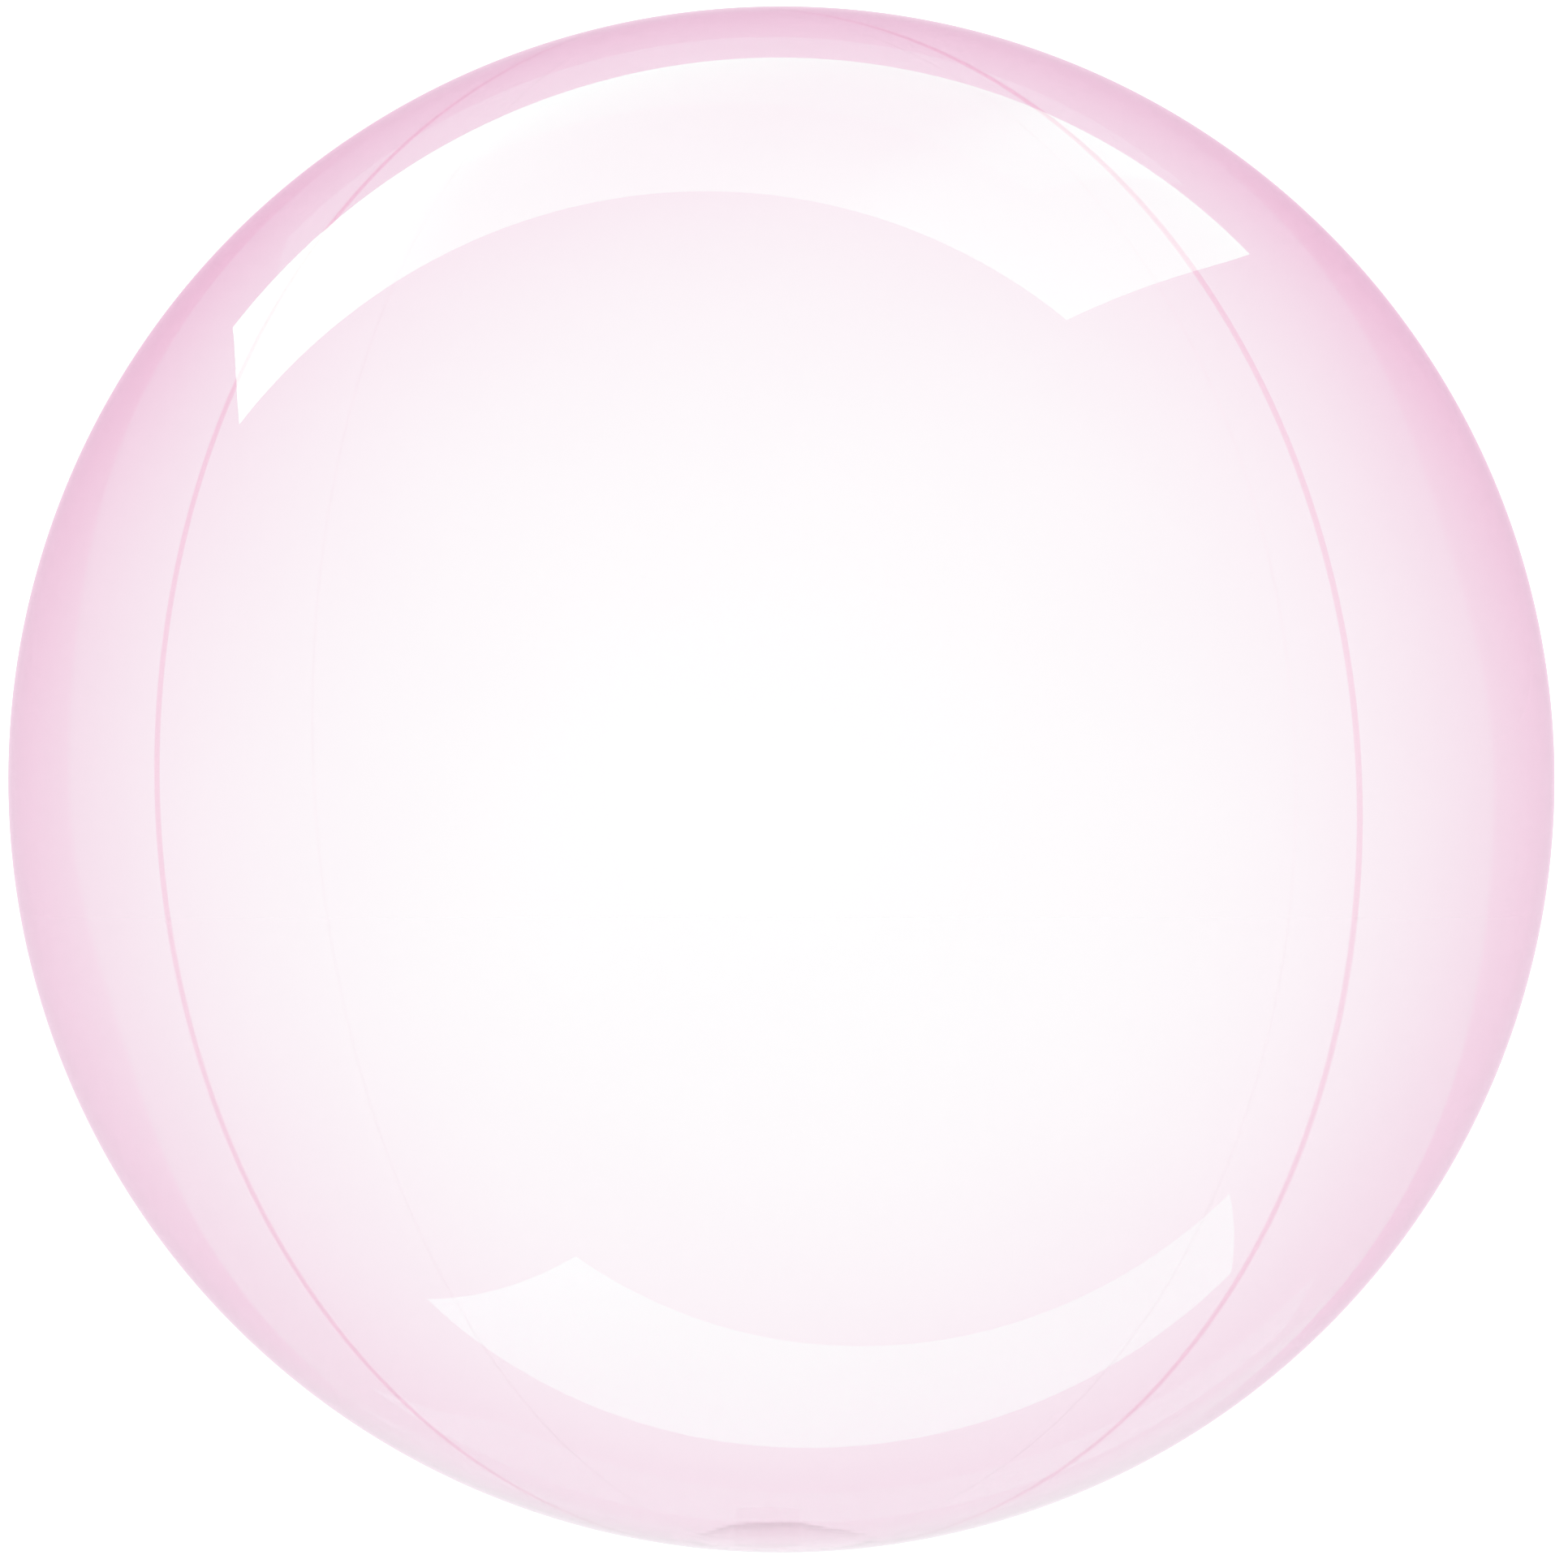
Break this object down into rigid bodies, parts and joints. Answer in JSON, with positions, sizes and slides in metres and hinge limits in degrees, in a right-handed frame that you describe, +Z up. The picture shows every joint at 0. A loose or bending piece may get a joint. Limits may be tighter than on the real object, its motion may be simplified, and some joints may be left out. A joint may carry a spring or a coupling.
{
  "type": "clear bubble balloon",
  "caption": "Round bubble balloon of clear, faintly pink film gores welded into a ball, with a flat fill neck pressed under it, resting on a small flat spot.",
  "frame": {"origin": "middle of the small flat spot under the balloon, on the surface it lies on", "axes": "+Z up, -Y towards the front gore's side that is seen first, +X to the right of it; the fill neck lies towards +Y"},
  "size_m": [0.5079, 0.5077, 0.5065],
  "materials": {
    "clear_film": "glossy clear film with a faint pink tint",
    "weld_film": "two films fused into one narrow clear weld",
    "neck_film": "two plies of clear film pressed flat"
  },
  "bodies": {
    "root": {"front_gore": "clear_film", "right_gore": "clear_film", "rear_gore": "clear_film", "left_gore": "clear_film", "fill_neck": "neck_film"}
  },
  "joints": []
}
